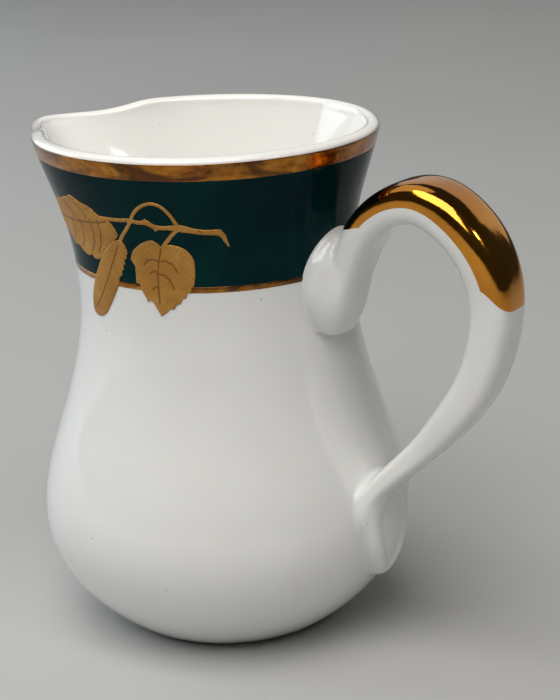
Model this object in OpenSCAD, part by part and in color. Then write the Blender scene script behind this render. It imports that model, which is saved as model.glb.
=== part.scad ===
// Porcelain cream jug: a slip-cast baluster vessel with a pulled spout, a looped handle that is
// luted on with slip at two places, and fired-on decoration of enamel, gold and leaf sprays.
// The vessel's axis is Z, its foot stands on z = 0, the handle is at +X and the spout at -X.

/* [Vessel] */
// Height of the rim's outer edge above the table
rim_z = 110; // [104:1:116]
// Radius of the rim before the spout is pulled
rim_r = 37; // [35:0.5:39]
// Height of the narrowest place of the neck
waist_z = 77; // [74:1:80]
// Radius at the narrowest place of the neck
waist_r = 29.7; // [28.5:0.1:31]
// Height of the widest place of the belly
belly_z = 26; // [24:1:28]
// Radius at the widest place of the belly
belly_r = 40.7; // [39.5:0.1:42]
// Radius where the rounded underside runs into the foot
foot_r = 23.4; // [22.5:0.1:24.5]
// Wall thickness
wall = 3; // [2.4:0.1:3.4]
// Height of the rounded lip above the rim's outer edge
lip_h = 1.1; // [0.8:0.1:1.5]
// How far the rim is longer than round towards the spout, and narrower elsewhere
rim_oval = 1.35; // [0:0.05:1.6]

/* [Spout] */
// How far the spout's tip is pulled out past the rim
spout_reach = 10.6; // [8:0.1:12]
// Half of the spout's angle at the rim, in degrees
spout_half_angle = 17.4; // [15:0.1:20]
// How much wider the throat is at its foot than at the rim
throat_spread = 1.1; // [0.8:0.1:1.6]
// Height where the throat begins to leave the neck
throat_z = 70; // [66:1:74]
// How far the rim slopes down towards the spout
rim_drop = 1; // [0:0.1:2]
// Half of the angle over which the rim slopes down, in degrees
rim_drop_angle = 113; // [90:1:130]
// How much further the rim dips over the spout itself
spout_drop = 1.8; // [0:0.1:3]
// Half of the angle over which the spout dips, in degrees
spout_drop_angle = 25.8; // [20:0.1:32]
// How far the rim is drawn in on each side of the spout
pinch = 2; // [0:0.1:3]
// Angle between the spout's middle and where the rim is drawn in most, in degrees
pinch_at = 14.7; // [12:0.1:20]
// How wide each drawn-in place is, in degrees
pinch_width = 17.4; // [12:0.1:20]

/* [Foot] */
// Radius of the foot ring's outer face
foot_ring_r = 23.5; // [22.6:0.1:24]
// Width of the foot ring
foot_ring_w = 2.1; // [1.8:0.1:2.6]
// Depth of the hollow inside the foot ring
foot_hollow = 1.6; // [1:0.1:2]

/* [Decoration] */
// Thickness of the enamel and gold layers
coat = 0.12; // [0.1:0.01:0.2]
// Height of the upper edge of the thin lower gold line
line_top_z = 83.3; // [82.8:0.1:84]
// Width of the thin lower gold line
line_w = 1.2; // [0.8:0.1:1.5]
// Width of the gold rim band
rim_gold_w = 3.6; // [3:0.1:4.5]

/* [Slip joints] */
// Thickness of the slip bed between vessel and handle
slip_t = 0.6; // [0.4:0.1:1]
// How far the slip is squeezed out past the handle's edge
slip_past = 1.3; // [0.8:0.1:1.8]

/* [Hidden] */

white = "ghostwhite";
green = "#06282d";
gold = "#b07a2a";

TURNS = 72;                  // points in each ring of the vessel
LIP_STEPS = 5;               // rings over the rounded lip
FLOOR_Z = 4.6;               // height of the inside floor
FOOT_RING_H = 2;             // height of the foot ring's solid, part of it inside the vessel
FOOT_EDGE = 0.5;             // bevel on the foot ring's edges
UNDERSIDE_Z = 0.7;           // height of the underside where the foot ring leaves it
LIP_HALF = wall / 2 + 0.1;   // half of the lip's thickness
OVAL_Z = 80;                 // height where the neck starts to turn oval
SWELL = 1.5;                 // how late the oval and the throat widen on their way up
SPOUT_POWER = 1.3;           // 2 is a round tip, less is a sharper one
TIP_ROUND = 3;               // how far round from its middle the spout's tip is blunt, in degrees
DIP_POWER = 5;               // how abruptly the dip over the spout ends

// Height, radius and slope of the outside at each place where the outline changes.
PROFILE = [
    [0, foot_r, 1.5],
    [8, foot_r + 9.5, 0.94],
    [belly_z, belly_r, 0],
    [50, (belly_r + waist_r) / 2 - 0.5, -0.327],
    [waist_z, waist_r, 0],
    [96, waist_r + 2.5, 0.32],
    [rim_z, rim_r, 0.3]
];

// Heights of the rings on the outside; the edges of the coloured bands are among them.
LOW_RINGS = [UNDERSIDE_Z, 3, 6, 10, 15, 20, 26, 33, 41, 50, 58, 65, 72, 78, line_top_z - line_w];
BAND_RINGS = [line_top_z, 87, 91, 95, 99, 103, rim_z - rim_gold_w];
RIM_RINGS = [rim_z - rim_gold_w / 2, rim_z];
INSIDE_RINGS = [103, 98, 93, 87, 80, 72, 64, 56, 48, 40, 32, 24, 17, 11, 6, 3];

// Handle: x, z, half width, thickness towards the outside of the loop, thickness towards the inside.
STRAP = [
    [29, 72.5, 5.5, 2.6, 3.4],
    [33, 81, 5.9, 2.8, 3.7],
    [36.8, 90, 6.3, 3.2, 4.0],
    [44, 97.5, 6.8, 3.8, 4.4],
    [52.4, 99.4, 7.0, 4.5, 4.7],
    [59.2, 96.1, 7.0, 4.8, 4.7],
    [64.6, 90.1, 6.6, 4.7, 4.8],
    [67.4, 83, 5.9, 4.4, 5.1],
    [67.1, 72.1, 5.4, 4.0, 5.0],
    [63.6, 62.2, 5.2, 3.8, 4.7],
    [58, 54, 5.2, 3.4, 4.1],
    [50.5, 45.7, 5.3, 2.8, 3.0],
    [41.5, 36.4, 7.9, 2.6, 2.4],
    [37, 29, 8.8, 2.2, 2.4]
];
STRAP_STEPS = 3;             // rings in each stretch of the strap
SECTION_STEPS = 16;          // points in each ring of the strap
SQUARENESS = 3.2;            // 2 is an ellipse, more is squarer
GOLD_FROM = 2.1;             // the handle's gold begins in this stretch of the strap
GOLD_TO = 7.31;              // and ends in this one
GOLD_TIP = 0.4;              // length of the gold's rounded beginning, in stretches
GOLD_END = 0.5;              // length of its rounded end
GOLD_TIP_W = 0.3;            // share of the full width that the gold has where it begins
GOLD_END_W = 0.3;            // and where it ends
GOLD_ROWS = 22;
GOLD_COLUMNS = 8;
BOSS_POINTS = 28;            // points in each ring of a boss
BOSS_SINK = 2;               // how far a boss reaches into the vessel before it is cut

// Bosses on the vessel: height, half width, half height, thickness, dish in the middle, taper.
UPPER_PAD = [80.2, 9.6, 10.8, 4.6, 0, 0];
LOWER_LEAF = [26.7, 9.6, 11.7, 3.4, 0.9, 0.42];

// One leaf spray, as strips on the vessel: degrees round from its middle, height, half width.
TWIG = [[-13, 96.9, 0.5], [-5, 97.3, 0.45], [4, 96.9, 0.6], [12, 96.3, 0.45],
    [20, 96.4, 0.9], [27, 95.6, 0.5], [34, 95.1, 0.6], [38, 94.3, 0.4], [41, 91.9, 0.15]];
ARCH = [[20.5, 96.4, 0.5], [16.5, 99.6, 0.4], [11.5, 101.2, 0.4], [6.5, 100.8, 0.4], [2, 98.4, 0.4],
    [-1, 94.6, 0.4], [-2.5, 92.3, 0.4]];
STALK = [[20.5, 96.4, 0.5], [18, 94.2, 0.45], [15, 92.2, 0.5]];
HEART_LEAF = [[14.2, 93.3, 2.9], [14.2, 92.2, 5.4], [14.3, 90.2, 6.8], [14.1, 87.4, 7.1],
    [13.9, 84.4, 6.4], [13.6, 81.6, 4.7], [13.2, 79.2, 2.4], [12.6, 76.9, 0.2]];
CATKIN = [[-2.2, 92.8, 0.4], [-3.6, 91.2, 1.8], [-6.5, 88.4, 2.5], [-11, 84.4, 3], [-15.5, 80.4, 3.2],
    [-19.5, 77.2, 2.6], [-22.4, 75.2, 1.4], [-23.6, 74.3, 0.3]];
SIDE_LEAF = [[-3.5, 92.4, 0.6], [-7.5, 93.4, 2.9], [-14.5, 93.5, 4.6], [-23, 93.5, 5.3], [-31, 94, 5],
    [-38, 94.6, 3.7], [-43.5, 95, 2], [-47.5, 95.2, 0.3]];
FRONT = -90;                 // direction of the near spray's middle
BACK = 90;                   // direction of the far spray's middle

// ---- outline of the vessel ----

function span(z, k = 0) = k < len(PROFILE) - 2 && z >= PROFILE[k + 1][0] ? span(z, k + 1) : k;

function hermite(a, b, h, t) =
    (2 * pow(t, 3) - 3 * pow(t, 2) + 1) * a[1] + (pow(t, 3) - 2 * pow(t, 2) + t) * h * a[2]
    + (3 * pow(t, 2) - 2 * pow(t, 3)) * b[1] + (pow(t, 3) - pow(t, 2)) * h * b[2];

function profile_r(z) =
    let (k = span(z), a = PROFILE[k], b = PROFILE[k + 1], h = b[0] - a[0])
    hermite(a, b, h, (z - a[0]) / h);

function profile_slope(z) = (profile_r(z + 0.05) - profile_r(z - 0.05)) / 0.1;

function from_spout(a) = abs(((a % 360) + 360) % 360 - 180);

function rise(z, from) = max(0, (z - from) / (rim_z - from));

function throat(a, z) =
    let (pull = pow(rise(z, throat_z), SWELL), d = from_spout(a), blunt = norm([d, TIP_ROUND]) - TIP_ROUND,
        half = spout_half_angle * (1 + throat_spread * (1 - pull)))
    pull * (spout_reach * exp(-pow(blunt / half, SPOUT_POWER))
        - pinch * exp(-pow((d - pinch_at) / pinch_width, 2)));

// The oval is longer towards the spout only; the handle's half is a narrower half circle.
function oval(a, z) = rim_oval * pow(rise(z, OVAL_Z), SWELL) * cos(2 * min(from_spout(a), 90));

function outer_r(a, z) = profile_r(z) + throat(a, z) + oval(a, z);

function dip(a, z) =
    let (d = from_spout(a))
    pow(rise(z, throat_z), 2)
    * (rim_drop * exp(-pow(d / rim_drop_angle, 2)) + spout_drop * exp(-pow(d / spout_drop_angle, DIP_POWER)));

// A point on the outside at angle a and nominal height z, lifted off the surface by lift.
function skin(a, z, lift = 0) =
    let (r = outer_r(a, z) + lift)
    [r * cos(a), r * sin(a), z - dip(a, z)];

// ---- rings and lofts ----

function turn(j) = 360 * j / TURNS;

function outside_ring(z, lift = 0) = [for (j = [0:TURNS - 1]) skin(turn(j), z, lift)];

// One ring over the rounded lip; swing runs from 0 outside to 180 inside.
function lip_ring(swing) = [for (j = [0:TURNS - 1])
    let (a = turn(j), r = outer_r(a, rim_z) - LIP_HALF + LIP_HALF * cos(swing))
    [r * cos(a), r * sin(a), rim_z - dip(a, rim_z) + lip_h * sin(swing)]];

// One ring of the inside, the wall's thickness square to the outline.
function inside_ring(z) =
    let (s = profile_slope(z), n = sqrt(1 + s * s))
    [for (j = [0:TURNS - 1])
        let (a = turn(j), r = outer_r(a, z) - wall / n)
        [r * cos(a), r * sin(a), z - dip(a, z) + wall * s / n]];

function flat_ring(r, z) = [for (j = [0:TURNS - 1]) [r * cos(turn(j)), r * sin(turn(j)), z]];

// Faces of a stack of rings with n points each; looped joins the last ring to the first.
function wall_faces(rings, n, looped) = [
    for (i = [0:rings - (looped ? 1 : 2)], j = [0:n - 1])
        let (up = (i + 1) % rings, next = (j + 1) % n)
        each [[i * n + j, up * n + j, up * n + next], [i * n + j, up * n + next, i * n + next]]];

// Triangles that close a ring of n points like the rungs of a ladder; n is even.
function cap_faces(start, n, flip) = [
    for (j = [0:n / 2 - 2])
        let (a = start + j, b = a + 1, c = start + n - 2 - j, d = c + 1)
        each flip ? [[a, c, b], [a, d, c]] : [[a, b, c], [a, c, d]]];

module loft(rings) {
    n = len(rings[0]);
    m = len(rings);
    polyhedron(points = [for (r = rings) each r],
        faces = concat(wall_faces(m, n, false), cap_faces(0, n, false), cap_faces((m - 1) * n, n, true)),
        convexity = 6);
}

module ring_loft(rings) {
    polyhedron(points = [for (r = rings) each r],
        faces = wall_faces(len(rings), len(rings[0]), true), convexity = 6);
}

// A coat of colour round the vessel through the rings at the heights zs.
module coat_round(zs) {
    last = len(zs) - 1;
    ring_loft([
        for (z = zs) outside_ring(z, coat),
        for (i = [0:last]) outside_ring(zs[last - i])
    ]);
}

// A thin plate from two equal grids of points, under and over, with rows of n points.
module plate(under, over) {
    loft([for (i = [0:len(over) - 1])
        let (n = len(under[i]))
        [each over[i], for (j = [1:n]) under[i][n - j]]]);
}

// ---- vessel ----

// The outside of the vessel as one solid, for cutting what is fixed to it.
module vessel_envelope() {
    loft([for (z = concat(LOW_RINGS, BAND_RINGS, RIM_RINGS)) outside_ring(z)]);
}

module foot_ring() {
    inner = foot_ring_r - foot_ring_w;
    rotate_extrude($fn = TURNS)
        polygon([[inner, FOOT_RING_H], [inner, FOOT_EDGE], [inner + FOOT_EDGE, 0],
            [foot_ring_r - FOOT_EDGE, 0], [foot_ring_r, FOOT_EDGE], [foot_ring_r, FOOT_RING_H]]);
}

module body() {
    hollow_r = foot_ring_r - foot_ring_w - 0.4;
    color(white) union() {
        loft([
            flat_ring(hollow_r - 0.8, foot_hollow),
            flat_ring(hollow_r, UNDERSIDE_Z),
            for (z = concat(LOW_RINGS, BAND_RINGS, RIM_RINGS)) outside_ring(z),
            for (i = [1:LIP_STEPS]) lip_ring(180 * i / (LIP_STEPS + 1)),
            for (z = INSIDE_RINGS) inside_ring(z),
            flat_ring(profile_r(3) - 8, FLOOR_Z)
        ]);
        foot_ring();
    }
}

// ---- handle ----

function strap_row(i) = STRAP[max(0, min(len(STRAP) - 1, i))];

// A point of the strap's centre line and its sizes, at stretch s of STRAP.
function strap_at(s) =
    let (k = min(floor(s), len(STRAP) - 2), t = s - k,
        a = strap_row(k - 1), b = strap_row(k), c = strap_row(k + 1), d = strap_row(k + 2))
    (2 * b + (c - a) * t + (2 * a - 5 * b + 4 * c - d) * t * t
        + (3 * b - a - 3 * c + d) * t * t * t) / 2;

function unit(v) = v / norm(v);

// Direction across the strap, towards the outside of the loop.
function strap_out(s) =
    let (v = unit(strap_at(min(s + 0.02, len(STRAP) - 1)) - strap_at(max(s - 0.02, 0))),
        w = unit([v[0], v[1]]))
    [-w[1], w[0]];

function rounded(c) = sign(c) * pow(abs(c), 2 / SQUARENESS);

// A point on the strap's surface: turn 0 is its far edge, 90 its outside, 180 its near edge.
function strap_point(s, swing, lift = 0) =
    let (p = strap_at(s), o = strap_out(s),
        across = rounded(sin(swing)) * ((sin(swing) > 0 ? p[3] : p[4]) + lift))
    [p[0] + o[0] * across, rounded(cos(swing)) * (p[2] + lift), p[1] + o[1] * across];

module strap() {
    steps = (len(STRAP) - 1) * STRAP_STEPS;
    loft([for (i = [0:steps])
        [for (j = [0:SECTION_STEPS - 1]) strap_point(i / STRAP_STEPS, 360 * j / SECTION_STEPS)]]);
}

// A rounded boss on the vessel under the handle, grown by grow and lifted by lift.
function boss_point(b, f, a, grow, lift, thick) =
    let (taper = 1 - b[5] * (1 - sin(a)) / 2,
        across = f * cos(a) * (b[1] + grow) * taper,
        z = b[0] + f * sin(a) * (b[2] + grow),
        crown = sqrt(max(0, 1 - pow(f, 4))))
    skin(across / profile_r(z) * 180 / PI, z,
        lift + thick * (crown - b[4] / b[3] * pow(1 - f * f, 2)));

// Start turns the ring's points by part of a step, so that two bosses share no edge.
module boss(b, grow = 0, lift = 0, thick = 0, start = 0) {
    t = thick == 0 ? b[3] : thick;
    flat = [b[0], b[1], b[2], 1, 0, b[5]];
    function ring(row, f, up, high) = [for (j = [0:BOSS_POINTS - 1])
        boss_point(row, f, 360 * (j + start) / BOSS_POINTS, grow, up, high)];
    under = [for (f = [0.12, 0.5, 1]) ring(flat, f, -BOSS_SINK, 0)];
    over = [for (f = [1, 0.98, 0.92, 0.8, 0.6, 0.35, 0.12]) ring(b, f, lift, t)];
    loft(concat(under, over));
}

module upper_slip() {
    boss([UPPER_PAD[0], UPPER_PAD[1], UPPER_PAD[2], 1, 0, 0], slip_past, 0, slip_t, 0.4);
}

module lower_slip() {
    boss([LOWER_LEAF[0], LOWER_LEAF[1], LOWER_LEAF[2], 1, 0, LOWER_LEAF[5]], slip_past, 0, slip_t, 0.4);
}

module handle() {
    color(white) difference() {
        union() {
            strap();
            boss(UPPER_PAD);
            boss(LOWER_LEAF);
        }
        vessel_envelope();
        upper_slip();
        lower_slip();
    }
}

module upper_slip_joint() {
    color(white) difference() {
        upper_slip();
        vessel_envelope();
    }
}

module lower_slip_joint() {
    color(white) difference() {
        lower_slip();
        vessel_envelope();
    }
}

// ---- decoration ----

module green_band() {
    color(green) coat_round(BAND_RINGS);
}

module rim_gilding() {
    color(gold) coat_round(concat([rim_z - rim_gold_w], RIM_RINGS));
}

module lower_gold_line() {
    color(gold) coat_round([line_top_z - line_w, line_top_z]);
}

function gold_share(past, length, start) =
    let (t = min(1, max(0, past / length)))
    start + (1 - start) * sqrt(t * (2 - t));

// Half of the angle that the gold covers on the strap: it begins and ends rounded.
function gold_half(s) =
    90 * gold_share(s - GOLD_FROM, GOLD_TIP, GOLD_TIP_W) * gold_share(GOLD_TO - s, GOLD_END, GOLD_END_W);

module handle_gilding() {
    rows = [for (i = [0:GOLD_ROWS]) GOLD_FROM + (GOLD_TO - GOLD_FROM) * i / GOLD_ROWS];
    function layer(lift) = [for (s = rows)
        [for (j = [0:GOLD_COLUMNS]) strap_point(s, 90 + gold_half(s) * (2 * j / GOLD_COLUMNS - 1), lift)]];
    color(gold) plate(layer(0), layer(coat));
}

// A strip of gold on the vessel. Each row is degrees, height and half width; about is its direction.
module strip(rows, about, over_coat = 0) {
    function across(i) =
        let (a = rows[max(i - 1, 0)], b = rows[min(i + 1, len(rows) - 1)],
            d = unit([(b[0] - a[0]) * waist_r * PI / 180, b[1] - a[1]]))
        [-d[1], d[0]];
    function place(i, u, lift) =
        let (r = rows[i], n = across(i))
        skin(about + r[0] + u * r[2] * n[0] / waist_r * 180 / PI, r[1] + u * r[2] * n[1], lift);
    plate(
        [for (i = [0:len(rows) - 1]) [for (u = [-1:0.5:1]) place(i, -u, over_coat)]],
        [for (i = [0:len(rows) - 1]) [for (u = [-1:0.5:1]) place(i, -u, over_coat + coat)]]
    );
}

module twig(about) {
    color(gold) union() {
        strip(TWIG, about, coat);
        strip(ARCH, about, coat);
        strip(STALK, about, coat);
    }
}

module heart_leaf(about) { color(gold) strip(HEART_LEAF, about, coat); }
module catkin(about) { color(gold) strip(CATKIN, about, 2 * coat); }
module side_leaf(about) { color(gold) strip(SIDE_LEAF, about, coat); }

body();
handle();
upper_slip_joint();
lower_slip_joint();
green_band();
rim_gilding();
lower_gold_line();
handle_gilding();
twig(FRONT);  // front_twig
heart_leaf(FRONT);  // front_heart_leaf
catkin(FRONT);  // front_catkin
side_leaf(FRONT);  // front_side_leaf
twig(BACK);  // back_twig
heart_leaf(BACK);  // back_heart_leaf
catkin(BACK);  // back_catkin
side_leaf(BACK);  // back_side_leaf
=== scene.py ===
"""Looks of a porcelain cream jug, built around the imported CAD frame.

The vessel, its foot and its lip are one smooth cast skin. The handle, its upper pad and its lower
leaf are blended into each other and into the vessel through distance fields, as slip and glaze do.
Enamel, gold and the two leaf sprays are thin raised layers. Lengths are millimetres and angles are
degrees until a mesh is made, which is in metres.
"""

import math

import bpy
import numpy as np
from mathutils import Matrix, Vector
from mathutils.geometry import delaunay_2d_cdt


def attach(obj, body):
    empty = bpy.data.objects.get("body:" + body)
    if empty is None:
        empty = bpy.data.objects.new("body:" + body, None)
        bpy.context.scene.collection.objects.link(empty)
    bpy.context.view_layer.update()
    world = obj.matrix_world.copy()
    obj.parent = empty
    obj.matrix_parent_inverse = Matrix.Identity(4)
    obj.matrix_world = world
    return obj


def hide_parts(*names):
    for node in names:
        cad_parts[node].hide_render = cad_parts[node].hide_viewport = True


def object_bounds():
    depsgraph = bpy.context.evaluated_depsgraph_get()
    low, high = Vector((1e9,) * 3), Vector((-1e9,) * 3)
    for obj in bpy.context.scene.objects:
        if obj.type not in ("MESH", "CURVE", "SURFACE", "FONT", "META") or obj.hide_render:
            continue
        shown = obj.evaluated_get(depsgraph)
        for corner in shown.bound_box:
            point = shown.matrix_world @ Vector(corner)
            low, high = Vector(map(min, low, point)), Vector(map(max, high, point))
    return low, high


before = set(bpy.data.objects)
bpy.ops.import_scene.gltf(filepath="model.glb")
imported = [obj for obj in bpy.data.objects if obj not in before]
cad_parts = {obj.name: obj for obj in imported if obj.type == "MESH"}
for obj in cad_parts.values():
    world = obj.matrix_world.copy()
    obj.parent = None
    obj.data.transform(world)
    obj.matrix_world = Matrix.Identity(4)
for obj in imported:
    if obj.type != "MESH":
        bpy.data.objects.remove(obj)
cad_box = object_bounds()

MM = 0.001

# ---- driving dimensions, the same as the CAD's ----

RIM_Z = 110.0             # height of the rim's outer edge
WAIST_R = 29.7            # radius at the narrowest place of the neck
BELLY_R = 40.7            # radius at the widest place of the belly
FOOT_R = 23.4             # radius where the underside runs into the foot
WALL = 3.0                # wall thickness
LIP_H = 1.1               # height of the rounded lip above the rim's outer edge
LIP_HALF = WALL / 2 + 0.1 # half width of the rounded lip
RIM_OVAL = 1.35           # how much longer the rim is towards the spout, and narrower at the sides
OVAL_Z = 80.0             # where the neck starts to turn oval
SPOUT_REACH = 10.6        # how far the spout's tip is pulled out
SPOUT_HALF_ANGLE = 17.4
TIP_ROUND = 3.0           # how far round from its middle the spout's tip is blunt, in degrees
SPOUT_POWER = 1.3         # 2 is a round tip, less is a sharper one
THROAT_SPREAD = 1.1       # how much wider the throat is at its foot than at the rim
THROAT_Z = 70.0           # where the throat begins
SWELL = 1.5               # how late throat and oval grow on their way up
RIM_DROP = 1.0            # how far the rim slopes down towards the spout
RIM_DROP_ANGLE = 113.0
SPOUT_DROP = 1.8          # how much further it dips over the spout itself
SPOUT_DROP_ANGLE = 25.8
DIP_POWER = 5             # 2 is a soft dip over the spout, more is a flatter one with steeper sides
PINCH = 2.0               # how far the rim is drawn in beside the spout
PINCH_AT = 14.7
PINCH_WIDTH = 17.4
FOOT_RING_R = 23.5
FOOT_RING_W = 2.1
FOOT_HOLLOW = 1.6
LINE_TOP_Z = 83.3         # upper edge of the thin gold line
LINE_W = 1.2
RIM_GOLD_W = 3.6

# Heights above the glaze of what is fired on it.
ENAMEL_T = 0.06
GOLD_T = 0.1
SPRAY_BASE = 0.1          # where the spray's own layers begin
CATKIN_BASE = 0.14
STEM_T = 0.09
LEAF_T = 0.08
HANDLE_GOLD_T = (0.012, 0.04, 0.055)   # at its edge, one and three rows of points further in
COAT_SINK = 0.1           # how far the bands reach into the wall
SPRAY_SINK = 0.06
HANDLE_GOLD_SINK = 0.05

# Height, radius and slope of the outside at each place where the outline changes.
PROFILE = np.array([
    [0, FOOT_R, 1.5],
    [8, FOOT_R + 9.5, 0.94],
    [26, BELLY_R, 0],
    [50, (BELLY_R + WAIST_R) / 2 - 0.5, -0.327],
    [77, WAIST_R, 0],
    [96, WAIST_R + 2.5, 0.32],
    [RIM_Z, 37.0, 0.3],
])

# Handle: x, z, half width, thickness towards the outside of the loop, thickness towards the inside.
STRAP = np.array([
    [29, 72.5, 5.5, 2.6, 3.4],
    [33, 81, 5.9, 2.8, 3.7],
    [36.8, 90, 6.3, 3.2, 4.0],
    [44, 97.5, 6.8, 3.8, 4.4],
    [52.4, 99.4, 7.0, 4.5, 4.7],
    [59.2, 96.1, 7.0, 4.8, 4.7],
    [64.6, 90.1, 6.6, 4.7, 4.8],
    [67.4, 83, 5.9, 4.4, 5.1],
    [67.1, 72.1, 5.4, 4.0, 5.0],
    [63.6, 62.2, 5.2, 3.8, 4.7],
    [58, 54, 5.2, 3.4, 4.1],
    [50.5, 45.7, 5.3, 2.8, 3.0],
    [41.5, 36.4, 7.9, 2.6, 2.4],
    [37, 29, 8.8, 2.2, 2.4],
])
SQUARENESS = 3.2          # of the strap's section: 2 is an ellipse, more is squarer
GOLD_FROM = 2.1           # the handle's gold begins in this stretch of the strap
GOLD_TO = 7.31            # and ends in this one
GOLD_TIP = 0.4            # length of its rounded beginning, in stretches
GOLD_END = 0.5            # length of its rounded end

# Bosses on the vessel: height, half width, half height, thickness, and the leaf's dish and taper.
UPPER_PAD = (80.2, 9.6, 10.8, 4.6)
LOWER_LEAF = (26.7, 9.6, 11.7, 3.4, 0.9, 0.42)
LEAF_EDGE = 3.2           # width of the leaf's rounded edge

# Radius of the fillets where the parts of the handle meet.
PAD_CREASE = 4.5          # under the strap, on the pad
PAD_CREASE_LOSS = 3.6     # how much smaller it is on top
PAD_CREASE_Z = (74, 88)   # between these heights it shrinks
LEAF_CREASE = 3.6
WALL_FILLET = 1.1
VESSEL_SINK = 0.03        # the fillets run out just under the vessel's surface
SLIP_T = 0.6              # height above the vessel where the slip ends and the handle begins
BETWEEN_JOINTS_Z = 55     # the upper slip joint is above this height and the lower one below

SPRAY_AT = {"front": -90.0, "back": 90.0}   # direction of each spray's middle


# ---- the vessel's surface ----

def profile_r(z):
    z = np.asarray(z, float)
    k = np.clip(np.searchsorted(PROFILE[:, 0], z, side="right") - 1, 0, len(PROFILE) - 2)
    a, b = PROFILE[k], PROFILE[k + 1]
    h = b[..., 0] - a[..., 0]
    t = (z - a[..., 0]) / h
    return ((2 * t**3 - 3 * t**2 + 1) * a[..., 1] + (t**3 - 2 * t**2 + t) * h * a[..., 2]
            + (3 * t**2 - 2 * t**3) * b[..., 1] + (t**3 - t**2) * h * b[..., 2])


def profile_slope(z):
    return (profile_r(np.asarray(z) + 0.05) - profile_r(np.asarray(z) - 0.05)) / 0.1


def from_spout(a):
    return np.abs(np.mod(a, 360) - 180)


def rise(z, start):
    return np.maximum(0, (z - start) / (RIM_Z - start))


def outer_r(a, z):
    pull = rise(z, THROAT_Z) ** SWELL
    d = from_spout(a)
    half = SPOUT_HALF_ANGLE * (1 + THROAT_SPREAD * (1 - pull))
    blunt = np.hypot(d, TIP_ROUND) - TIP_ROUND
    throat = pull * (SPOUT_REACH * np.exp(-((blunt / half) ** SPOUT_POWER))
                     - PINCH * np.exp(-(((d - PINCH_AT) / PINCH_WIDTH) ** 2)))
    oval = RIM_OVAL * np.cos(np.radians(2 * np.minimum(d, 90)))
    return profile_r(z) + throat + oval * rise(z, OVAL_Z) ** SWELL


def dip(a, z):
    d = from_spout(a)
    drop = (RIM_DROP * np.exp(-((d / RIM_DROP_ANGLE) ** 2))
            + SPOUT_DROP * np.exp(-((d / SPOUT_DROP_ANGLE) ** DIP_POWER)))
    return drop * rise(z, THROAT_Z) ** 2


def around(a, r, z):
    a, r, z = np.broadcast_arrays(np.radians(a), r, z)
    return np.stack([r * np.cos(a), r * np.sin(a), z], -1)


def skin(a, z, lift=0.0):
    """A point on the outside at angle a and nominal height z, lifted off the surface."""
    return around(a, outer_r(a, z) + lift, z - dip(a, z))


# ---- meshes ----

def put(name, data):
    """Adds an object to the scene."""
    item = bpy.data.objects.new(name, data)
    bpy.context.scene.collection.objects.link(item)
    return item


def make_piece(name, points, faces, node, materials, face_material=None, normals=None, flat=None):
    """A smooth mesh piece that rides on the frame and stands for one CAD node."""
    mesh = bpy.data.meshes.new(name)
    mesh.from_pydata((np.asarray(points) * MM).tolist(), [], [list(f) for f in faces])
    for material in materials:
        mesh.materials.append(material)
    mesh.polygons.foreach_set("use_smooth", np.ones(len(mesh.polygons), bool))
    if face_material is not None:
        mesh.polygons.foreach_set("material_index", np.asarray(face_material, np.int32))
    if flat is not None:
        layer = mesh.uv_layers.new(name="flat")
        loops = np.zeros(len(mesh.loops), np.int32)
        mesh.loops.foreach_get("vertex_index", loops)
        layer.data.foreach_set("uv", flat[loops].astype(np.float32).ravel())
    mesh.update()
    if normals is not None:
        mesh.normals_split_custom_set_from_vertices(normals.tolist())
    piece = put(name, mesh)
    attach(piece, "root")
    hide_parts(node)
    return piece


def paint(piece, name, values):
    """Keeps one number per vertex for the piece's material."""
    layer = piece.data.attributes.new(name, "FLOAT", "POINT")
    layer.data.foreach_set("value", np.asarray(values, np.float32))


def ring_faces(rings, columns, looped):
    """Quads between rings of points that run counter-clockwise from above, the lowest outside ring first."""
    i, j = np.meshgrid(np.arange(rings - (0 if looped else 1)), np.arange(columns), indexing="ij")
    up, after = (i + 1) % rings, (j + 1) % columns
    corners = [i * columns + j, i * columns + after, up * columns + after, up * columns + j]
    return np.stack(corners, -1).reshape(-1, 4)


def open_edges(faces):
    """Directed edges that only one face uses, in the order of the faces."""
    used = dict.fromkeys((f[k], f[(k + 1) % len(f)]) for f in faces for k in range(len(f)))
    return [(a, b) for a, b in used if (b, a) not in used]


# ---- vessel ----

COLUMNS = 240             # points in each ring round the vessel
OUTSIDE_RINGS = 170
INSIDE_RINGS = 150
TURN = np.arange(COLUMNS) * 360 / COLUMNS
WIPED_Z = 0.11            # the foot's faces below this height are bare of glaze
FLOOR_Z = 4.55            # the inside's floor in the middle


def foot_rings():
    """From the middle of the underside, over the foot ring, to where the belly begins."""
    inner = FOOT_RING_R - FOOT_RING_W
    outline = [(3, FOOT_HOLLOW), (10, FOOT_HOLLOW), (16, FOOT_HOLLOW + 0.02), (inner - 1.7, FOOT_HOLLOW),
               (inner - 0.9, FOOT_HOLLOW - 0.2), (inner - 0.35, FOOT_HOLLOW - 0.7), (inner - 0.02, 0.45),
               (inner + 0.2, 0.16), (inner + 0.5, 0.03), (inner + 0.8, 0), (FOOT_RING_R - 0.8, 0),
               (FOOT_RING_R - 0.45, 0.04), (FOOT_RING_R - 0.16, 0.2), (FOOT_RING_R, 0.5),
               (FOOT_RING_R + 0.35, 0.78), (FOOT_RING_R + 0.95, 1.0)]
    return [around(TURN, r, z) for r, z in outline]


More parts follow.
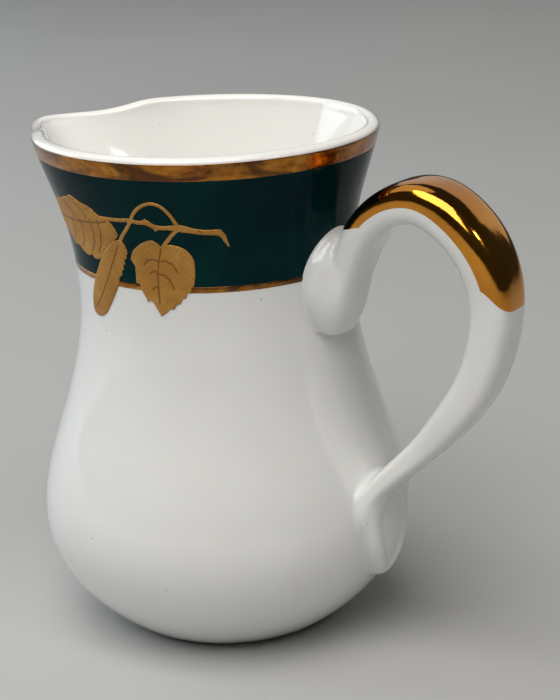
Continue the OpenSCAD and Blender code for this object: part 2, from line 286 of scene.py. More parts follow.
def vessel_rings():
    """From the middle of the underside, up the outside, over the lip and down the inside to the floor."""
    rings = foot_rings()
    rings += [skin(TURN, z) for z in np.linspace(1.5, RIM_Z, OUTSIDE_RINGS)]
    for swing in np.radians(np.arange(10, 180, 10)):
        r = outer_r(TURN, RIM_Z) - LIP_HALF + LIP_HALF * np.cos(swing)
        rings.append(around(TURN, r, RIM_Z - dip(TURN, RIM_Z) + LIP_H * np.sin(swing)))
    for z in np.linspace(RIM_Z - 1.6, 3, INSIDE_RINGS):
        slope = profile_slope(z)
        n = np.sqrt(1 + slope**2)
        rings.append(around(TURN, outer_r(TURN, z) - WALL / n, z - dip(TURN, z) + WALL * slope / n))
    floor = [(24.6, 4.95), (22.8, 4.7), (19.6, 4.6), (12, FLOOR_Z), (4, FLOOR_Z)]
    return rings + [around(TURN, r, z) for r, z in floor]


def build_vessel(glaze, biscuit, inside_painted_light):
    """The whole vessel as one closed mesh, with its inside from the rim's edge inwards in a lighter, warmer
    copy of the outside's glaze, which is painted light.
    """
    rings = vessel_rings()
    points = np.concatenate(rings)
    sides = ring_faces(len(rings), COLUMNS, False)
    under, floor = len(points), len(points) + 1
    points = np.vstack([points, [0, 0, FOOT_HOLLOW], [0, 0, FLOOR_Z]])
    last = (len(rings) - 1) * COLUMNS
    step = np.arange(COLUMNS)
    after = (step + 1) % COLUMNS
    caps = [(under, b, a) for a, b in zip(step, after)]
    caps += [(floor, last + a, last + b) for a, b in zip(step, after)]
    height = points[sides][:, :, 2].mean(1)
    first_inside = (len(foot_rings()) + OUTSIDE_RINGS - 1) * COLUMNS
    kind = np.where(height < WIPED_Z, 1, np.where(sides.min(1) >= first_inside, 2, 0))
    kinds = kind.tolist() + [0] * COLUMNS + [2] * COLUMNS
    make_piece("vessel", points, sides.tolist() + caps, "body",
               [glaze, biscuit, inside_painted_light], kinds)


# ---- enamel and gold round the vessel ----

def hand_edge(a, size, phase):
    """How far a brushed edge wanders."""
    a = np.radians(a)
    waves = np.sin(3 * a + phase) + 0.6 * np.sin(7 * a + 2.1 * phase) + 0.4 * np.sin(17 * a + 3.7 * phase)
    return size * waves


def build_coat(name, low, high, thick, node, material, phase, wander=0.02):
    """A thin raised layer round the vessel with soft edges, closed inside the wall."""
    inset = min(0.25, (high - low) / 4)
    soft = [(0, 0.3), (0.3 * inset, 0.75), (inset, 1)]
    middle = max(2, int((high - low) / 0.5))
    start, end = low + hand_edge(TURN, wander, phase), high + hand_edge(TURN, wander, phase + 1)
    rows = [(start + off, share * thick) for off, share in soft]
    rows += [(start + inset + (end - start - 2 * inset) * k / middle, thick) for k in range(1, middle)]
    rows += [(end - off, share * thick) for off, share in reversed(soft)]
    rows += [(z, -COAT_SINK) for z, _ in reversed(rows)]
    rings = [skin(TURN, z, lift) for z, lift in rows]
    points = np.concatenate(rings)
    make_piece(name, points, ring_faces(len(rings), COLUMNS, True).tolist(), node, [material])


# ---- handle ----

def natural_spline(knots, values, at):
    """Natural cubic spline through rows of values at the knots."""
    n = len(knots)
    h = np.diff(knots)
    system = np.eye(n)
    right = np.zeros((n, values.shape[1]))
    for i in range(1, n - 1):
        system[i, i - 1:i + 2] = h[i - 1], 2 * (h[i - 1] + h[i]), h[i]
        right[i] = 6 * ((values[i + 1] - values[i]) / h[i] - (values[i] - values[i - 1]) / h[i - 1])
    bend = np.linalg.solve(system, right)
    k = np.clip(np.searchsorted(knots, at, side="right") - 1, 0, n - 2)
    a = ((knots[k + 1] - at) / h[k])[:, None]
    b = 1 - a
    return (a * values[k] + b * values[k + 1]
            + ((a**3 - a) * bend[k] + (b**3 - b) * bend[k + 1]) * (h[k] ** 2)[:, None] / 6)


STRAP_SAMPLES = 1400
KNOTS = np.concatenate([[0], np.cumsum(np.hypot(*np.diff(STRAP[:, :2], axis=0).T))])
STRAP_U = np.linspace(0, KNOTS[-1], STRAP_SAMPLES)
STRAP_LINE = natural_spline(KNOTS, STRAP, STRAP_U)
STRAP_STEP = np.hypot(*np.gradient(STRAP_LINE[:, :2], axis=0).T)
STRAP_T = np.gradient(STRAP_LINE[:, :2], axis=0) / STRAP_STEP[:, None]
STRAP_BEND = np.cross(STRAP_T, np.gradient(STRAP_T, axis=0)) / STRAP_STEP
# x, z, half width, thickness outwards, thickness inwards, tangent x, tangent z, step, curvature
STRAP_TABLE = np.column_stack([STRAP_LINE, STRAP_T, STRAP_STEP, STRAP_BEND])


def strap_row(f):
    """The strap's table between its samples."""
    k = np.clip(f.astype(int), 0, STRAP_SAMPLES - 2)
    t = (f - k)[:, None]
    return STRAP_TABLE[k] * (1 - t) + STRAP_TABLE[k + 1] * t


def beside_strap(x, z, f):
    """The strap's row at a sample, and how far along and outwards from it points of the plane lie."""
    row = strap_row(f)
    dx, dz = x - row[:, 0], z - row[:, 1]
    return row, dx * row[:, 5] + dz * row[:, 6], dz * row[:, 5] - dx * row[:, 6]


def strap_coordinates(x, z):
    """Where points of the handle's plane lie beside the strap: sample, offset outwards, way past its ends."""
    coarse = STRAP_LINE[::20]
    f = np.empty(len(x))
    for start in range(0, len(x), 20000):
        part = slice(start, start + 20000)
        gap = (x[part, None] - coarse[None, :, 0]) ** 2 + (z[part, None] - coarse[None, :, 1]) ** 2
        f[part] = gap.argmin(1) * 20.0
    for _ in range(5):
        row, along, out = beside_strap(x, z, f)
        step = along / (row[:, 7] * np.maximum(1 - row[:, 8] * out, 0.35))
        f = np.clip(f + step, 0, STRAP_SAMPLES - 1.0)
    row, along, out = beside_strap(x, z, f)
    ended = (f <= 0) | (f >= STRAP_SAMPLES - 1)
    return f, out, np.where(ended, np.abs(along), 0.0)


def strap_distance(width, over, under, out, past, y):
    """Distance to the strap's rounded-square section, to first order."""
    thick = np.where(out > 0, over, under)
    u, v = np.abs(y) / width, np.abs(out) / thick
    size = np.maximum(u**SQUARENESS + v**SQUARENESS, 1e-9)
    level = size ** (1 / SQUARENESS)
    common = size ** (1 / SQUARENESS - 1)
    gradient = common * np.hypot(u ** (SQUARENESS - 1) / width, v ** (SQUARENESS - 1) / thick)
    section = (level - 1) / np.maximum(gradient, 0.05)
    return np.where(past > 0, np.maximum(section, past), section)


def vessel_distance(x, y, z):
    a = np.degrees(np.arctan2(y, x))
    return (np.hypot(x, y) - outer_r(a, z)) / np.sqrt(1 + profile_slope(z) ** 2)


def pad_distance(x, y, z, lift):
    """Distance to the crowned upper pad on the vessel, to first order."""
    middle, width, height, thick = UPPER_PAD
    u = np.arctan2(y, x) * profile_r(z) / width
    v = (z - middle) / height
    f2 = u**2 + v**2
    w = lift / thick
    level = f2**1.5 + w**2 - 1
    slope = 3 * np.sqrt(f2)
    gradient = np.sqrt((slope * u / width) ** 2 + (slope * v / height) ** 2 + (2 * w / thick) ** 2)
    return level / np.maximum(gradient, 0.12)


def leaf_distance(x, y, z, lift):
    """Distance to the lower leaf on the vessel: a plate with a rounded edge and a dished middle."""
    middle, width, height, thick, dish, taper = LOWER_LEAF
    v = (z - middle) / height
    narrowed = width * (1 - taper * (1 - np.clip(v, -1.2, 1.2)) / 2)
    u = np.arctan2(y, x) * profile_r(z) / narrowed
    level = np.maximum(np.hypot(u, v), 1e-4)
    outline = (level - 1) * level / np.maximum(np.hypot(u / narrowed, v / height), 1e-6)
    raised = lift + dish * smooth_step(-outline, 0.6, 4.5)
    flatter = LEAF_EDGE / thick
    a, b = np.maximum(outline + LEAF_EDGE, 0), np.maximum(raised, 0) * flatter
    size = np.maximum(np.hypot(a, b), 1e-6)
    return (size - LEAF_EDGE) * size / np.maximum(np.hypot(a, b * flatter), 1e-6)


def blend(a, b, radius):
    """Union of two distance fields with a fillet."""
    h = np.maximum(radius - np.abs(a - b), 0) / radius
    return np.minimum(a, b) - h * h * radius / 4


def smooth_step(x, low, high):
    t = np.clip((x - low) / (high - low), 0, 1)
    return t * t * (3 - 2 * t)


VOXEL = 0.3               # step of the grid that the handle's surface is found on
HANDLE_BOX = ((24, 75), (-13, 13.15), (11, 107))   # what the grid covers
HANDLE_FROM_X = 25.5      # nearer the axis than this, all is inside the vessel


def handle_union(x, y, z, strap):
    """Distance to the handle with both bosses, filleted into the vessel."""
    wall = vessel_distance(x, y, z)
    pad = pad_distance(x, y, z, wall)
    leaf = leaf_distance(x, y, z, wall)
    crease = PAD_CREASE - PAD_CREASE_LOSS * smooth_step(z, *PAD_CREASE_Z)
    solid = blend(strap, pad, crease)
    solid = blend(solid, leaf, LEAF_CREASE)
    return blend(solid, wall + VESSEL_SINK, WALL_FILLET)


def handle_distance(points):
    x, y, z = points.T
    f, out, past = strap_coordinates(x, z)
    row = strap_row(f)
    return handle_union(x, y, z, strap_distance(*row[:, 2:5].T, out, past, y))


def handle_grid():
    """The handle's distance field on a grid, and the grid's first corner."""
    x, y, z = (np.arange(low, high, VOXEL) for low, high in HANDLE_BOX)
    gx, gz = np.meshgrid(x, z, indexing="ij")
    f, out, past = strap_coordinates(gx.ravel(), gz.ravel())
    row = strap_row(f)
    plane = (len(x), 1, len(z))
    width, over, under, out, past = (v.reshape(plane) for v in (*row[:, 2:5].T, out, past))
    strap = strap_distance(width, over, under, out, past, y[None, :, None])
    field = handle_union(x[:, None, None], y[None, :, None], z[None, None, :], strap)
    return np.array([x[0], y[0], z[0]]), field


def surface_net(field, origin):
    """Quads on the zero level of a field on a grid, with one point in each cell that it crosses."""
    within = field < 0
    cells = [n - 1 for n in field.shape]
    corners = list(np.ndindex(2, 2, 2))
    views = [tuple(slice(c, c + n) for c, n in zip(corner, cells)) for corner in corners]
    count = sum(within[v].astype(np.int8) for v in views)
    crossed = (count > 0) & (count < 8)
    number = np.full(cells, -1)
    number[crossed] = np.arange(crossed.sum())
    values = np.stack([field[v][crossed] for v in views], 1)
    place = np.array(corners, float)
    total, hits = np.zeros((len(values), 3)), np.zeros(len(values))
    for p, q in [(p, q) for p in range(8) for q in range(p) if np.abs(place[p] - place[q]).sum() == 1]:
        cut = (values[:, p] < 0) != (values[:, q] < 0)
        t = np.where(cut, values[:, p] / np.where(cut, values[:, p] - values[:, q], 1), 0)
        total += cut[:, None] * (place[p] + t[:, None] * (place[q] - place[p]))
        hits += cut
    points = (np.argwhere(crossed) + total / hits[:, None]) * VOXEL + origin
    quads = []
    for axis in range(3):
        b, c = (axis + 1) % 3, (axis + 2) % 3

        def slab(array, start, back_b, back_c):
            part = [slice(None)] * 3
            part[axis] = slice(start, start + cells[axis])
            part[b] = slice(1 - back_b, cells[b] - back_b)
            part[c] = slice(1 - back_c, cells[c] - back_c)
            return array[tuple(part)]

        first = slab(within, 0, 0, 0)
        changed = first != slab(within, 1, 0, 0)
        ring = np.stack([slab(number, 0, *back)[changed] for back in ((1, 1), (0, 1), (0, 0), (1, 0))], 1)
        quads.append(np.where(first[changed][:, None], ring, ring[:, ::-1]))
    return points, np.concatenate(quads)


def field_normal(points):
    """Direction in which the handle's distance grows."""
    gap = 0.02
    steps = gap * np.eye(3)
    sides = [handle_distance(points + step) - handle_distance(points - step) for step in steps]
    return np.stack(sides, 1) / (2 * gap)


def settle(points, rounds=3):
    """Moves points onto the handle's surface, and gives their normals."""
    for _ in range(rounds):
        slope = field_normal(points)
        size = np.maximum((slope**2).sum(1), 0.1)
        points = points - slope * np.clip(handle_distance(points) / size, -VOXEL, VOXEL)[:, None]
    slope = field_normal(points)
    return points, slope / np.maximum(np.linalg.norm(slope, axis=1), 1e-6)[:, None]


def boundary_caps(points, faces):
    """Triangle fans that close a piece where it meets another; they lie inside the wall."""
    follow = {b: a for a, b in open_edges(faces)}
    caps, extra = [], []
    while follow:
        start, at = next(iter(follow.items()))
        loop = [start]
        del follow[start]
        while at != start and at in follow:
            loop.append(at)
            at = follow.pop(at)
        if len(loop) > 2:
            middle = points[loop].mean(0)
            middle[:2] *= 1 - 1.0 / np.hypot(*middle[:2])
            hub = len(points) + len(extra)
            extra.append(middle)
            caps += [(a, b, hub) for a, b in zip(loop, loop[1:] + loop[:1])]
    return np.vstack([points, *extra]), caps


def part_of_shell(points, normals, faces, chosen):
    """The chosen faces as their own mesh."""
    kept = [f for f, c in zip(faces, chosen) if c]
    used = sorted({i for f in kept for i in f})
    place = {old: new for new, old in enumerate(used)}
    return points[used], normals[used], [[place[i] for i in f] for f in kept]


def build_handle(glaze, slip_painted_shade):
    # Both glazes here are a little darker copies of the vessel's glaze: painted shade on the handle and at
    # its joints.
    origin, field = handle_grid()
    points, quads = surface_net(field, origin)
    middle = points[quads].mean(1)
    outside = (vessel_distance(*points.T)[quads].max(1) > -0.1) & (middle[:, 0] > HANDLE_FROM_X)
    points, normals, quads = part_of_shell(points, points, quads.tolist(), outside)
    points, normals = settle(points)
    middle = points[np.array(quads)].mean(1)
    lift = vessel_distance(*middle.T)
    shown = vessel_distance(*points.T)[np.array(quads)].max(1) > -0.01
    upper = middle[:, 2] > BETWEEN_JOINTS_Z
    slip = shown & (lift <= SLIP_T)
    parts = {
        "loop_handle": (shown & (lift > SLIP_T), "handle", "porcelain_handle", glaze),
        "upper_slip_fillet": (slip & upper, "upper_slip_joint", "luting_slip", slip_painted_shade),
        "lower_slip_fillet": (slip & ~upper, "lower_slip_joint", "luting_slip", slip_painted_shade),
    }
    for name, (chosen, node, slot, material) in parts.items():
        p, n, f = part_of_shell(points, normals, quads, chosen)
        closed, caps = boundary_caps(p, f)
        n = np.vstack([n, np.tile([-1.0, 0, 0], (len(closed) - len(p), 1))])
        make_piece(name, closed, f + caps, node, [material], normals=n)


def gold_share(past, length):
    """How much of its full width the gold has at a distance past its tip: a quarter of an ellipse."""
    t = np.clip(past / length, 0, 1)
    return np.sqrt(t * (2 - t))


def gold_half(s):
    """Half of the angle that the gold covers on the strap: it begins and ends rounded."""
    return 90 * gold_share(s - GOLD_FROM, GOLD_TIP) * gold_share(GOLD_TO - s, GOLD_END) + 0.5


def build_gilding(gold):
    """The bright gold over the outer half of the strap, a thin shell on the handle's own surface."""
    rows, columns = 240, 72
    s = GOLD_FROM + (GOLD_TO - GOLD_FROM) * (1 - np.cos(np.linspace(0, math.pi, rows))) / 2
    u = np.interp(s, np.arange(len(STRAP)), KNOTS)
    line = np.stack([np.interp(u, STRAP_U, STRAP_LINE[:, k]) for k in range(5)], 1)
    out = np.stack([-np.interp(u, STRAP_U, STRAP_T[:, 1]), np.interp(u, STRAP_U, STRAP_T[:, 0])], 1)
    swing = np.radians(90 + gold_half(s)[:, None] * np.linspace(-1, 1, columns)[None, :])

    def rounded(c):
        return np.sign(c) * np.abs(c) ** (2 / SQUARENESS)

    across = rounded(np.sin(swing)) * np.where(np.sin(swing) > 0, line[:, 3:4], line[:, 4:5])
    start = np.stack([line[:, 0:1] + out[:, 0:1] * across, rounded(np.cos(swing)) * line[:, 2:3],
                      line[:, 1:2] + out[:, 1:2] * across], -1)
    edge = np.minimum.reduce(np.broadcast_arrays(
        np.arange(rows)[:, None], np.arange(rows)[::-1][:, None],
        np.arange(columns)[None, :], np.arange(columns)[::-1][None, :]))
    lift = np.interp(edge, [0, 1, 3], HANDLE_GOLD_T)
    base, normals = settle(start.reshape(-1, 3))
    over = base + normals * lift.reshape(-1, 1)
    under = base - normals * HANDLE_GOLD_SINK
    points = np.vstack([over, under])
    i, j = np.meshgrid(np.arange(rows - 1), np.arange(columns - 1), indexing="ij")
    corner = i * columns + j
    top = np.stack([corner, corner + 1, corner + columns + 1, corner + columns], -1).reshape(-1, 4)
    bottom = top[:, ::-1] + len(over)
    sides = [[b, a, a + len(over), b + len(over)] for a, b in open_edges(top.tolist())]
    facing = np.cross(points[top[:, 2]] - points[top[:, 0]], points[top[:, 3]] - points[top[:, 1]])
    faces = top.tolist() + bottom.tolist() + sides
    if (facing * normals[top[:, 0]]).sum() < 0:
        faces = [f[::-1] for f in faces]
    make_piece("handle_gold", points, faces, "handle_gilding", [gold],
               normals=np.vstack([normals, -normals]))


# ---- leaf sprays, drawn flat and laid on the vessel ----
# Flat places are (degrees round from the spray's middle, height). One degree is about half a millimetre.

BAND_R = 31.0                            # radius of the neck in the middle of the band
DEGREE = math.radians(1) * BAND_R        # millimetres in one degree at the band
LEAF_STEP = 0.22                         # distance between points inside a leaf, in millimetres

# Outlines run clockwise; a third value of 1 marks a sharp point.
HEART_LEAF = [
    (15, 91.8, 1), (17.8, 92.4, 0), (21.2, 92.2, 0), (23.8, 91.6, 0), (25.9, 90.5, 0), (27.2, 89, 0),
    (27.3, 87, 0), (27.1, 85.1, 0), (26.5, 83.4, 1), (25.6, 83.3, 1), (25.2, 82.2, 1), (24, 82.2, 1),
    (23.2, 81, 1), (21.8, 80.9, 1), (20.9, 79.8, 1), (19.3, 79.5, 1), (18.2, 78.5, 1), (16.6, 78.6, 1),
    (15.4, 77.9, 1), (12.7, 76.9, 1), (11.2, 78.2, 0), (9.8, 79.5, 1), (8.6, 80.2, 1), (7, 79.7, 1),
    (6.2, 80.8, 0), (4.6, 82.2, 0), (4.2, 83.4, 1), (2.4, 83.6, 1), (2.6, 85.4, 0), (2.7, 87.2, 1),
    (1, 88.6, 1), (2.4, 90.4, 0), (4.2, 91.3, 0), (7.2, 92.5, 0), (10.8, 93.2, 0), (13.5, 92.7, 0),
]
HEART_VEINS = [
    [(15, 91.8), (13.4, 88.9), (12.4, 86), (12.2, 82.5), (12.4, 79.6)],
    [(13.2, 88.9), (10.6, 89.1), (8.4, 88.7), (7, 87.8)],
    [(13, 88.6), (16, 88.9), (18.6, 88.3), (20.6, 86.5)],
    [(12.5, 86.2), (11, 86.6), (9.4, 86)],
    [(12.6, 86), (15.2, 85.8), (17.2, 84.8), (18.7, 82.9)],
    [(12.3, 83.1), (11, 83.2), (9.8, 82.5)],
]
CATKIN = [
    (-3.4, 92.6, 1), (-1.4, 91.9, 0), (-0.4, 90.8, 0), (-0.2, 89.8, 0), (-0.9, 89.3, 1), (-0.9, 88.7, 1),
    (-2.2, 88.2, 1), (-2, 87.3, 1), (-3.2, 87, 1), (-3, 86.1, 1), (-4.2, 85.7, 1), (-4.1, 84.8, 1),
    (-5.6, 84.2, 0), (-7, 82.2, 0), (-9.6, 79.9, 0), (-12.5, 77.6, 0), (-15.5, 75.6, 0), (-18.5, 74.6, 0),
    (-21.6, 74.4, 0), (-24.3, 74.9, 0), (-25.4, 76.4, 0), (-24.8, 78.6, 0), (-23, 81, 0), (-20.6, 83.3, 0),
    (-17.6, 85.6, 0), (-15.6, 87.2, 1), (-13.6, 88.6, 0), (-10, 90.4, 0), (-6.4, 91.9, 0),
]
CATKIN_VEINS = [
    [(-4, 91.2), (-8, 87.4), (-13, 82.6), (-18, 78.6), (-22, 76.2)],
]
SIDE_LEAF = [
    (-3.3, 93.4, 1), (-4.4, 95.2, 0), (-6.6, 96.6, 0), (-9, 97.1, 1), (-11.9, 97.7, 0), (-14.1, 98.7, 0),
    (-17, 99.3, 0), (-19.6, 99.6, 0), (-23.9, 100.5, 0), (-26.4, 100.6, 1), (-28.7, 100, 0),
    (-33, 99.4, 0), (-37.3, 98.4, 1), (-38.6, 99.2, 1), (-40.6, 97.8, 1), (-42.6, 97.9, 1), (-43.6, 96.6, 1),
    (-46, 96.4, 1), (-46.4, 95.2, 1), (-49.6, 94, 1), (-46.8, 93.2, 1), (-48.2, 92, 1), (-44.4, 91.8, 1),
    (-44, 90.7, 1), (-40.6, 90.7, 1), (-38.8, 89.7, 0), (-35.3, 88.5, 1), (-31.4, 88.7, 0),
    (-27.8, 87.7, 0), (-23.4, 87.2, 1), (-21.6, 87.8, 1), (-19.4, 87, 1), (-16.6, 87.2, 0),
    (-14, 88.4, 0), (-10.4, 90.2, 0), (-6.4, 91.9, 0),
]
SIDE_VEINS = [
    [(-8, 96.2), (-14, 95.6), (-22, 95), (-32, 94.6), (-43, 94.2)],
    [(-12.6, 96.2), (-12.4, 93.2), (-13.6, 90.6), (-16, 88.8)],
    [(-17.4, 95.8), (-16.8, 93), (-17.6, 90.6), (-20.4, 88.6)],
    [(-24, 95.2), (-23.8, 92.8), (-25, 90.4), (-28, 89)],
    [(-31, 94.8), (-31.2, 92.6), (-33, 90.4)],
    [(-19, 96), (-20.6, 97.8), (-23.6, 99)],
    [(-27, 95.4), (-29, 97.2), (-32.6, 98.4)],
]
# Stems: degrees, height and half width in millimetres.
TWIG = [(-13.4, 96.7, 0.5), (-7, 97, 0.42), (-0.4, 97.15, 0.42), (3.7, 97.3, 0.45), (8, 97.05, 0.42),
        (10.6, 97.15, 0.62), (12.2, 96.6, 0.5), (14.6, 96.15, 0.5), (18, 96.15, 0.42), (21.8, 96.15, 0.7),
        (23.6, 96.05, 0.78), (27.8, 95.55, 0.56), (31, 95.25, 0.55), (34.2, 95.15, 0.58), (36.6, 95.05, 0.66),
        (38, 94.6, 0.6), (39.2, 93.4, 0.42), (40.6, 91.9, 0.14)]
ARCH = [(22.4, 96.3, 0.44), (20.2, 98.8, 0.36), (17.2, 100.8, 0.34), (14, 101.45, 0.36), (9.6, 100.7, 0.34),
        (6.6, 99.3, 0.34), (4.2, 97.4, 0.36), (1.4, 95.2, 0.36), (-1, 93.7, 0.38), (-2.8, 92.3, 0.42)]
STALK = [(22.4, 96, 0.42), (19.4, 94.4, 0.38), (17, 92.8, 0.42), (15, 91.4, 0.5)]
BUDS = [[(9.6, 97.2, 0.34), (10.4, 98.05, 0.12)], [(13.4, 96.1, 0.4), (13.9, 95.35, 0.2)],
        [(36.6, 95.4, 0.4), (38.1, 95.5, 0.16)]]


def rounded_outline(corners):
    """Points along an outline in millimetres: curved through plain corners, straight at sharp ones."""
    flat = np.array([(a * DEGREE, z) for a, z, _ in corners])
    sharp = [c[2] for c in corners]
    n = len(corners)
    slopes = [np.zeros(2) if sharp[i] else (flat[(i + 1) % n] - flat[i - 1]) / 2 for i in range(n)]
    points = []
    for i in range(n):
        a, b = flat[i], flat[(i + 1) % n]
        start = slopes[i] if not sharp[i] else (b - a)
        end = slopes[(i + 1) % n] if not sharp[(i + 1) % n] else (b - a)
        limit = np.linalg.norm(b - a)
        start, end = (v * min(1, 1.3 * limit / max(np.linalg.norm(v), 1e-6)) for v in (start, end))
        steps = max(1, int(limit / LEAF_STEP))
        for t in np.arange(steps) / steps:
            points.append((2 * t**3 - 3 * t**2 + 1) * a + (t**3 - 2 * t**2 + t) * start
                          + (3 * t**2 - 2 * t**3) * b + (t**3 - t**2) * end)
    return np.array(points)


def stem_outline(rows):
    """Outline in millimetres of a stem that follows rows of places and half widths."""
    flat = np.array([(a * DEGREE, z, w) for a, z, w in rows])
    knots = np.concatenate([[0], np.cumsum(np.hypot(*np.diff(flat[:, :2], axis=0).T))])
    at = np.linspace(0, knots[-1], max(3, int(knots[-1] / 0.3)))
    line = natural_spline(knots, flat, at)
    line[:, 2] = np.interp(at, knots, flat[:, 2])
    tangent = np.gradient(line[:, :2], axis=0)
    tangent /= np.linalg.norm(tangent, axis=1)[:, None]
    side = np.stack([-tangent[:, 1], tangent[:, 0]], 1) * line[:, 2:]
    return np.vstack([line[:, :2] + side, (line[:, :2] - side)[::-1]])


def inside(points, outline):
    """Which points are inside a closed outline."""
    x, y = points[:, 0][:, None], points[:, 1][:, None]
    a, b = outline, np.roll(outline, -1, axis=0)
    crosses = (a[:, 1] > y) != (b[:, 1] > y)
    with np.errstate(divide="ignore", invalid="ignore"):
        at = a[:, 0] + (y - a[:, 1]) / (b[:, 1] - a[:, 1]) * (b[:, 0] - a[:, 0])
    return (crosses & (x < at)).sum(1) % 2 == 1


def gap_to_lines(points, lines):
    """Shortest distance from each point to any of the lines."""
    best = np.full(len(points), 99.0)
    for line in lines:
        for a, b in zip(line[:-1], line[1:]):
            d = b - a
            t = np.clip(((points - a) @ d) / max(d @ d, 1e-9), 0, 1)
            best = np.minimum(best, np.linalg.norm(points - a - t[:, None] * d, axis=1))
    return best


def fill_outlines(outlines, step):
    """Triangles that fill one or more overlapping outlines, with points all over the inside."""
    low = np.min([o.min(0) for o in outlines], 0)
    high = np.max([o.max(0) for o in outlines], 0)
    columns = np.arange(low[0], high[0], step)
    rows = np.arange(low[1], high[1], step * 0.866)
    gx, gy = np.meshgrid(columns, rows)
    gx = gx + (np.arange(len(rows)) % 2)[:, None] * step / 2
    grid = np.stack([gx.ravel(), gy.ravel()], 1)
    edges = [np.vstack([o, o[:1]]) for o in outlines]
    grid = grid[np.any([inside(grid, o) for o in outlines], 0)]
    grid = grid[gap_to_lines(grid, edges) > step * 0.45]
    vertices, loops = [], []
    for o in outlines:
        loops.append(list(range(len(vertices), len(vertices) + len(o))))
        vertices += [Vector(p) for p in o]
    vertices += [Vector(p) for p in grid]
    found, _, triangles, *_ = delaunay_2d_cdt(vertices, [], loops, 1, 1e-5)
    found = np.array([tuple(v) for v in found])
    middles = found[np.array([t[:3] for t in triangles])].mean(1)
    filled = np.any([inside(middles, o) for o in outlines], 0)
    return found, [list(t) for t, keep in zip(triangles, filled) if keep]


def lay_layer(name, about, outlines, base, thick, node, material, relief=None, veins=(), step=LEAF_STEP):
    """A thin raised layer with the drawn outlines, laid on the vessel and closed underneath."""
    flat, triangles = fill_outlines(outlines, step)
    order = flat[np.array(triangles)]
    area = np.cross(order[:, 1] - order[:, 0], order[:, 2] - order[:, 0])
    triangles = [t if a > 0 else t[::-1] for t, a in zip(triangles, area)]
    edges = open_edges(triangles)
    rim = np.array(sorted({i for e in edges for i in e}))
    ends = flat[np.array(edges)]
    gap = gap_to_lines(flat, ends)
    gap[rim] = 0
    lines = [np.array([(a * DEGREE, z) for a, z in v]) for v in veins]
    vein = gap_to_lines(flat, lines) if lines else np.full(len(flat), 99.0)
    height = thick * np.sqrt(np.clip(gap / 0.3, 0.12, 1))
    if relief is not None:
        height = height + relief(flat, gap, vein)
    angle = about + flat[:, 0] / DEGREE
    over = skin(angle, flat[:, 1], base + height)
    under = skin(angle, flat[:, 1], -SPRAY_SINK)
    n = len(flat)
    faces = triangles + [[i + n for i in t[::-1]] for t in triangles]
    faces += [[b, a, a + n, b + n] for a, b in edges]
    piece = make_piece(name, np.vstack([over, under]), faces, node, [material],
                       flat=np.vstack([flat, flat]) / 50)
    paint(piece, "vein", np.tile(vein, 2))
    paint(piece, "edge", np.tile(gap, 2))


def leaf_relief(flat, gap, vein):
    return -0.03 * np.exp(-(vein / 0.22) ** 2)


def catkin_relief(flat, gap, vein):
    """A rounded body with slanting scales."""
    along = (flat[:, 0] + flat[:, 1]) * 0.7071
    across = (flat[:, 0] - flat[:, 1]) * 0.7071
    scales = np.abs(np.sin(2.6 * along + 0.8 * np.sin(3.1 * across)))
    return 0.10 * np.clip(gap / 2.5, 0, 1) ** 0.8 + 0.025 * scales * np.clip(gap / 0.6, 0, 1)


def build_spray(side, leaf_gold):
    """Stems, two leaves and the catkin, which lies over them."""
    about = SPRAY_AT[side]
    stems = [stem_outline(rows) for rows in [TWIG, ARCH, STALK, *BUDS]]
    lay_layer(side + "_stems", about, stems, SPRAY_BASE, STEM_T, side + "_twig", leaf_gold, step=0.3)
    drawn = [
        ("_heart", HEART_LEAF, SPRAY_BASE, LEAF_T, "_heart_leaf", leaf_relief, HEART_VEINS),
        ("_leaf", SIDE_LEAF, SPRAY_BASE, LEAF_T, "_side_leaf", leaf_relief, SIDE_VEINS),
        ("_catkin_body", CATKIN, CATKIN_BASE, STEM_T, "_catkin", catkin_relief, CATKIN_VEINS),
    ]
    for name, corners, base, thick, node, relief, veins in drawn:
        lay_layer(side + name, about, [rounded_outline(corners)], base, thick, side + node,
                  leaf_gold, relief, veins)


# ---- materials ----

SPECK_SIZE = 0.17
SPECK_CELLS = 170.0       # in a metre: a cell holds one speck, seldom on the surface


